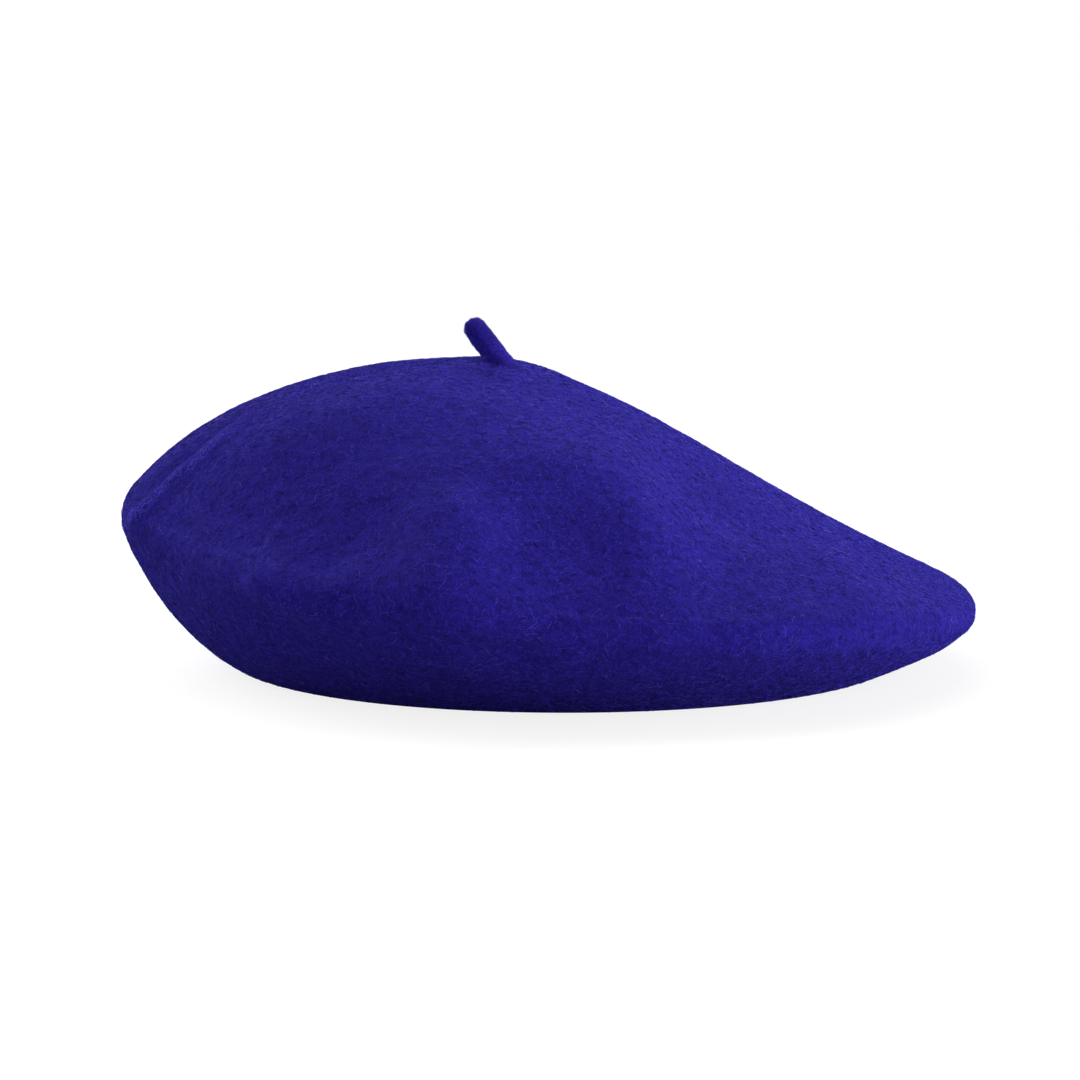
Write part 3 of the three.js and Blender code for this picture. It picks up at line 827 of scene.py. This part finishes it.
def lining_pieces():
    """Both panels of the lining, and the seam that joins them."""
    ends = (0, SEAM - SEAM_HALF), (SEAM + SEAM_HALF, NEAR_RIM)
    tip = lining_skin("lining_tip_satin", *ends[0], LINING_TIP_ROWS, 1.0)
    side = lining_skin("lining_side_satin", *ends[1], LINING_SIDE_ROWS, 2.0, tucked=True)
    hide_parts("lining_tip")
    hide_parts("lining_side")
    azimuth = azimuths(SEAM_AROUND)
    seam = layer(azimuth, SEAM, LINING_DEPTH + LINING + GAP + THREAD_RADIUS)
    into = normal_of(felt_face, azimuth, np.full(SEAM_AROUND, SEAM))
    shape = stitches(seam, into, length=3.4, pitch=4.2, radius=THREAD_RADIUS)
    thread_piece("lining_seam_stitches", shape, "lining_seam_thread")


def thread_piece(name, shape, node):
    """Stitches that ride with the beret and stand for a thread's solid."""
    piece = mesh_object(name, *shape, "beret", "thread")
    piece.data.materials.append(thread_blue)
    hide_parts(node)


# ---- Sweatband ----
BAND_THICKNESS, BAND_HEIGHT, BAND_JOINT, BAND_LIFT = 1.2, 26.0, 2.0, 0.8
BAND_CORNER = 0.5
BAND_AROUND = 420
BAND_WAVES = ((0.22, 5, 1), (0.16, 11, 0), (0.1, 23, 2))  # each one's height, count and start
BAND_OUTSIDE = RIM_RADIUS - FELT - RIM_CLEARANCE - 2 * GAP - LINING
BAND_INSIDE = BAND_OUTSIDE - BAND_THICKNESS
BAND_MIDDLE = BAND_LIFT + BAND_HEIGHT / 2
BACK = math.pi / 2  # the side where the band's ends meet


def band_section():
    """The leather's section as (inset, height): rounded edges, and two pressed creases in front."""
    corner = BAND_CORNER
    turn = np.linspace(0, np.pi / 2, 5)
    outside, inside = 0.0, BAND_THICKNESS
    low, high = BAND_LIFT, BAND_LIFT + BAND_HEIGHT
    arcs = []
    for inset, height, start in (
        (inside - corner, low + corner, -np.pi / 2),
        (inside - corner, high - corner, 0),
        (outside + corner, high - corner, np.pi / 2),
        (outside + corner, low + corner, np.pi),
    ):
        angle = turn + start
        arc = [inset + corner * np.cos(angle), height + corner * np.sin(angle)]
        arcs.append(np.stack(arc, -1))
    lower, upper, back_upper, back_lower = arcs
    rise = np.linspace(lower[-1, 1], upper[0, 1], 22)[1:-1]
    front = np.stack([np.full_like(rise, inside), rise], -1)
    creases = bump_at(rise, low + 3.6, 0.5) + bump_at(rise, high - 2.4, 0.35)
    front[:, 0] -= 0.28 * creases
    fall = np.linspace(high - corner, low + corner, 10)[1:-1]
    back = np.stack([np.full_like(fall, outside), fall], -1)
    return np.concatenate([lower, front, upper, back_upper, back, back_lower])


def sweatband_piece():
    """The strip of leather, slightly wavy towards its free edge, and its row of stitches."""
    half_joint = BAND_JOINT / 2 / BAND_INSIDE
    azimuth = np.linspace(BACK + half_joint, BACK - half_joint + 2 * np.pi, BAND_AROUND)
    section = band_section()
    inset, height = section[:, 0], section[:, 1]
    share = ((height - BAND_LIFT) / BAND_HEIGHT)[None, :]
    wave = sum(rise * np.sin(count * azimuth + start) for rise, count, start in BAND_WAVES)
    radius = BAND_OUTSIDE - inset[None, :] - np.abs(wave)[:, None] * share**2
    x = OPENING_X + radius * np.cos(azimuth)[:, None]
    y = radius * np.sin(azimuth)[:, None]
    z = height[None, :] + 0.5 * wave[:, None] * share**3
    rows, around = len(azimuth), len(section)
    points = np.stack([x, y, z], -1)
    faces = ring_faces(rows, around)
    faces.append(list(range(around))[::-1])
    faces.append(list(range((rows - 1) * around, rows * around)))
    band = mesh_object("sweatband_leather", points.reshape(-1, 3), faces, "beret", "leather")
    band.data.materials.append(leather_brown)
    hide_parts("sweatband")
    turn = np.linspace(BACK + 2 * half_joint, BACK - 2 * half_joint + 2 * np.pi, 900)
    line = rim_point(turn, RIM_RADIUS - BAND_INSIDE + 0.1, BAND_LIFT + 2.0)
    out = np.stack([np.cos(turn), np.sin(turn), 0 * turn], -1)
    shape = stitches(line, out, length=2.9, pitch=3.7, radius=THREAD_RADIUS, closed=False)
    thread_piece("sweatband_stitches", shape, "sweatband_seam_thread")


# ---- Pieces sewn inside the opening ----


def inside_opening(points, azimuth, radius, z):
    """Places points drawn with +X level and -Y pointing to the opening's middle."""
    turn = azimuth - math.pi / 2
    x = points[..., 0] * math.cos(turn) - points[..., 1] * math.sin(turn)
    y = points[..., 0] * math.sin(turn) + points[..., 1] * math.cos(turn)
    place = np.array([OPENING_X + radius * math.cos(azimuth), radius * math.sin(azimuth), z])
    return np.stack([x, y, points[..., 2]], -1) + place


def chord_radius(width):
    """Where a flat piece of a given width lies clear of the round band."""
    return math.sqrt((BAND_INSIDE - GAP) ** 2 - (width / 2) ** 2)


BOW_LENGTH, BOW_HEIGHT, BOW_WAIST, BOW_THICKNESS = 34.0, 12.0, 4.4, 1.6
WRAP_WIDTH = 5.0
RIBBON, WRAP_CLOTH = 0.35, 0.5


def bow_loop(side):
    """One loop of the bow: a ribbon out along the band and back, pleated at the wrap."""
    end = BOW_LENGTH / 2
    line = smooth_line(
        [(0, -0.35), (5, -0.2), (12, -0.2), (end - 0.6, -0.3), (end - 0.2, -0.9),
         (end - 0.8, -1.6), (12, -2.1), (6, -1.8), (0, -1.25)], 64
    )
    share = np.linspace(-0.5, 0.5, 17)
    rows = []
    for x, y in line:
        open_out = min(1.0, (x / 9.0)) ** 0.8
        height = BOW_WAIST + (BOW_HEIGHT - BOW_WAIST) * open_out
        pleat = 0.22 * np.cos(6 * np.pi * share) * math.exp(-x / 3.5)
        front = 0.3 * open_out * np.cos(np.pi * share) * (1 if y < -0.8 else 0)
        level = np.full_like(share, side * x)
        rows.append(np.stack([level, y - front + pleat, share * height], -1))
    grid = np.array(rows)
    return sheet(grid if side > 0 else grid[:, ::-1], RIBBON)


def bow_pieces():
    """The two loops, and the ribbon wrapped round their waist."""
    place = (BACK, chord_radius(BOW_LENGTH), BAND_MIDDLE)
    points, faces = joined([bow_loop(1), bow_loop(-1)])
    bow = mesh_object("bow_ribbon", inside_opening(points, *place), faces, "beret", "ribbon")
    bow.data.materials.append(ribbon_navy)
    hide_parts("bow_loops")
    half_y, half_z = BOW_THICKNESS / 2 + GAP + 0.3, BOW_WAIST / 2 + GAP + 0.3
    ring = smooth_line(
        [(half_y, 0), (half_y, 0.8 * half_z), (0.75 * half_y, half_z), (0, half_z + 0.1),
         (-0.75 * half_y, half_z), (-half_y - 0.3, 0.75 * half_z), (-half_y - 0.45, 0),
         (-half_y - 0.3, -0.75 * half_z), (-0.75 * half_y, -half_z), (0, -half_z - 0.1),
         (0.75 * half_y, -half_z), (half_y, -0.8 * half_z)], 60, closed=True
    )
    across = np.linspace(-0.5, 0.5, 13)
    rows = []
    for y, z in ring:
        width = WRAP_WIDTH - 0.5 * max(0.0, -y / half_y)
        ripple = 0.08 * np.cos(4 * np.pi * across)
        level = y - BOW_THICKNESS / 2 + ripple * np.sign(y)
        rows.append(np.stack([across * width, level, np.full_like(across, z)], -1))
    points, faces = sheet(np.array(rows), WRAP_CLOTH, closed=True)
    wrap = mesh_object("bow_wrap_ribbon", inside_opening(points, *place), faces, "beret", "ribbon")
    wrap.data.materials.append(ribbon_navy)
    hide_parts("bow_wrap")


LABEL_CLOTH = 0.18
LABEL_FOLD = 0.3  # between the middles of a folded label's two layers
LABEL_OFFSET = 0.25  # how far a label stands off the band
CARE_LABEL_TOP = 24.0


def folded_label(width, height):
    """A label cut double and folded along its lower edge, hanging below its sewn upper edge."""
    across = np.linspace(-width / 2, width / 2, 25)
    fold = LABEL_FOLD / 2
    line = smooth_line(
        [(-fold, height / 2), (-fold, 0), (-fold - 0.05, -height / 2 + 0.6), (0, -height / 2),
         (fold, -height / 2 + 0.6), (fold, 0), (fold, height / 2)], 60
    )
    rows = []
    for y, z in line:
        curl = 0.12 * np.sin(across / width * 5.0)
        rows.append(np.stack([across, y + curl, np.full_like(across, z)], -1))
    return sheet(np.array(rows), LABEL_CLOTH)


def label_piece(node, body, width, height, azimuth, middle):
    """A blank folded label on the sweatband. It is cut twice as long as it hangs."""
    place = (math.radians(azimuth), chord_radius(width) - LABEL_OFFSET, middle)
    points, faces = folded_label(width, height)
    points = inside_opening(points, *place)
    label = mesh_object(node + "_cloth", points, faces, body, "label")
    label.data.materials.append(label_white)
    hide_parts(node)


MAKER_RADIUS, MAKER_CLOTH, MAKER_THREAD = 22.0, 0.4, 0.22
MAKER_ROWS, MAKER_AROUND, MAKER_SEAM_AROUND = 26, 120, 360


def maker_label_piece():
    """A round woven patch in the middle of the lining, its edge turned under, without any words."""
    azimuth = azimuths(MAKER_AROUND)
    outside = LINING_DEPTH + LINING + GAP
    inside = outside + MAKER_CLOTH
    rows = []
    for share in np.linspace(0, 1, MAKER_ROWS):
        along = np.array([along_at(a, share * MAKER_RADIUS) for a in azimuth])
        hem = 0.28 * bump_at(share, 0.93, 0.05) + 0.1 * bump_at(share, 0.8, 0.02)
        rows.append((layer(azimuth, along, outside), layer(azimuth, along, inside + hem)))
    backs, fronts = zip(*rows)
    skin = np.array(backs + fronts[::-1])
    label = skin_object("maker_label_patch", skin, "beret", "label", pole_rows=(0, -1))
    label.data.materials.append(label_white)
    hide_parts("maker_label")
    turn = azimuths(MAKER_SEAM_AROUND)
    along = np.array([along_at(a, 0.9 * MAKER_RADIUS) for a in turn])
    line = layer(turn, along, inside + 0.2 + MAKER_THREAD)
    into = normal_of(felt_face, turn, along)
    shape = stitches(line, into, length=2.3, pitch=3.0, radius=MAKER_THREAD)
    thread_piece("maker_label_stitches", shape, "maker_label_thread")


def stalk_tack_piece():
    """A few turns of thread under the crown, which hold the stalk."""
    under = felt_face(np.zeros(1), np.zeros(1))[0, 2] - FELT - 0.5
    t = np.linspace(-1, 1, 9)[:, None]
    runs = []
    for k, turn in enumerate((0.1, 0.75, -0.6, 1.5)):
        ahead = np.array([math.cos(turn), math.sin(turn), 0])
        path = np.array([CROWN[0], 0, under]) + 2.5 * t * ahead - (0.14 * k - 0.7 * t**6) * UP
        runs.append(path)
    radii = THREAD_RADIUS * np.array([0.5, 0.9, 1, 1, 1, 1, 1, 0.9, 0.5])
    shape = tubes(np.array(runs), np.tile(UP, (len(runs), 1)), radii)
    thread_piece("stalk_tack_stitches", shape, "stalk_tack_thread")


lining_pieces()
sweatband_piece()
bow_pieces()
label_piece("size_label", "beret", 14.0, 10.0, 64, BAND_MIDDLE)
label_piece("care_label", "care_label", 20.0, 17.0, 125, CARE_LABEL_TOP - 17.0 / 2)
maker_label_piece()
stalk_tack_piece()

# ---- Floor, light and camera ----
FLOOR_HALF = 3.0
FLOOR_SHADE = 0.20  # what the camera sees of the floor's own colour
FLOOR_GLOW = 0.82  # and of its own light
PAINTED_SHADE_LEFT, PAINTED_LIGHT_RIGHT = (0.22, 0.22, 0.23), (0.75, 0.75, 0.76)  # painted shade on the left and painted light on the right, in the light the floor throws back
PAPER_TURNS = 0.25  # how far to either side, in metres, the one becomes the other


def floor_material():
    """Pale paper, seen almost white with a soft shadow; in the light it throws back, a pool of
    light is painted on the right and shade on the left.
    """
    nodes = material_nodes("floor_paper")
    seen = nodes.add("LightPath").outputs["Is Camera Ray"]
    across = nodes.add("SeparateXYZ", {0: nodes.place()}).outputs["X"]
    # Painted light: the floor's colour for thrown-back light is darker on the left and brighter on
    # the right.
    painted_bounce = nodes.mix(nodes.ramp(across, -PAPER_TURNS, PAPER_TURNS), PAINTED_SHADE_LEFT, PAINTED_LIGHT_RIGHT)
    colour = nodes.mix(seen, painted_bounce, (FLOOR_SHADE, FLOOR_SHADE, FLOOR_SHADE))
    glow = nodes.math("MULTIPLY", seen, FLOOR_GLOW)
    nodes.set(Base_Color=colour, Roughness=0.9, Emission_Strength=glow)
    distance = nodes.add("VectorMath", {0: nodes.place()}, operation="LENGTH").outputs["Value"]
    fade = nodes.ramp(distance, 0.4, 1.6, 1.0, 0.0)
    nodes.set(Emission_Color=(1, 1, 1, 1), Alpha=fade)
    return nodes.owner


def floor_piece():
    corners = [(x * FLOOR_HALF, y * FLOOR_HALF, 0) for x, y in ((-1, -1), (1, -1), (1, 1), (-1, 1))]
    mesh = bpy.data.meshes.new("floor")
    mesh.from_pydata(corners, [], [(0, 1, 2, 3)])
    mesh.materials.append(floor_material())
    floor = bpy.data.objects.new("floor", mesh)
    bpy.context.collection.objects.link(floor)


# Where the studio's light comes from: azimuth from +X towards +Y, elevation, and strength.
LIGHT_FROM = (
    (0, 3, 10.5),
    (45, 8, 3.2),
    (90, 40, 3.8),
    (135, 8, 5.8),
    (135, 40, 4.4),
    (180, 3, 3.2),
    (180, 40, 0.4),
    (270, 8, 0.9),
    (315, 3, 4.8),
)
LIGHT_SPREAD = 14.0  # a higher power makes each of them narrower


def backdrop():
    """Soft light from a few broad directions; the camera sees plain white."""
    world = bpy.data.worlds.new("studio")
    bpy.context.scene.world = world
    nodes = Nodes(world, "Background")
    direction = nodes.add("TexCoord").outputs["Generated"]
    total = 0.0
    for azimuth, elevation, strength in LIGHT_FROM:
        turn, rise = math.radians(azimuth), math.radians(elevation)
        level = math.cos(rise)
        source = (level * math.cos(turn), level * math.sin(turn), math.sin(rise))
        towards = nodes.add("VectorMath", {0: direction, 1: source}, operation="DOT_PRODUCT")
        facing = nodes.math("MAXIMUM", towards.outputs["Value"], 0.0)
        total = nodes.scaled(nodes.math("POWER", facing, LIGHT_SPREAD), strength, total)
    seen = nodes.add("LightPath").outputs["Is Camera Ray"]
    shown = nodes.add("Mix", {0: seen, 2: total, 3: 1.0}, data_type="FLOAT")
    nodes.set(Strength=shown.outputs[0], Color=(1, 1, 1, 1))


CAMERA_DISTANCE = 1.5
CAMERA_HEIGHT = math.radians(7.5)
CAMERA_TARGET = Vector((-0.0025, 0, 0.0357))
VIEW_WIDTH = 0.3175  # what the frame takes in at the beret
SENSOR_WIDTH = 36


def camera():
    """The camera in front, a little above the level of the beret."""
    data = bpy.data.cameras.new("camera")
    data.sensor_width = SENSOR_WIDTH
    data.lens = SENSOR_WIDTH * CAMERA_DISTANCE / VIEW_WIDTH
    data.clip_end = 50
    eye = bpy.data.objects.new("camera", data)
    bpy.context.collection.objects.link(eye)
    back = Vector((0, -math.cos(CAMERA_HEIGHT), math.sin(CAMERA_HEIGHT)))
    eye.location = CAMERA_TARGET + CAMERA_DISTANCE * back
    eye.rotation_mode = "QUATERNION"
    eye.rotation_quaternion = (-back).to_track_quat("-Z", "Y")
    bpy.context.scene.camera = eye


floor_piece()
backdrop()
camera()
bpy.context.scene.view_settings.view_transform = "Standard"
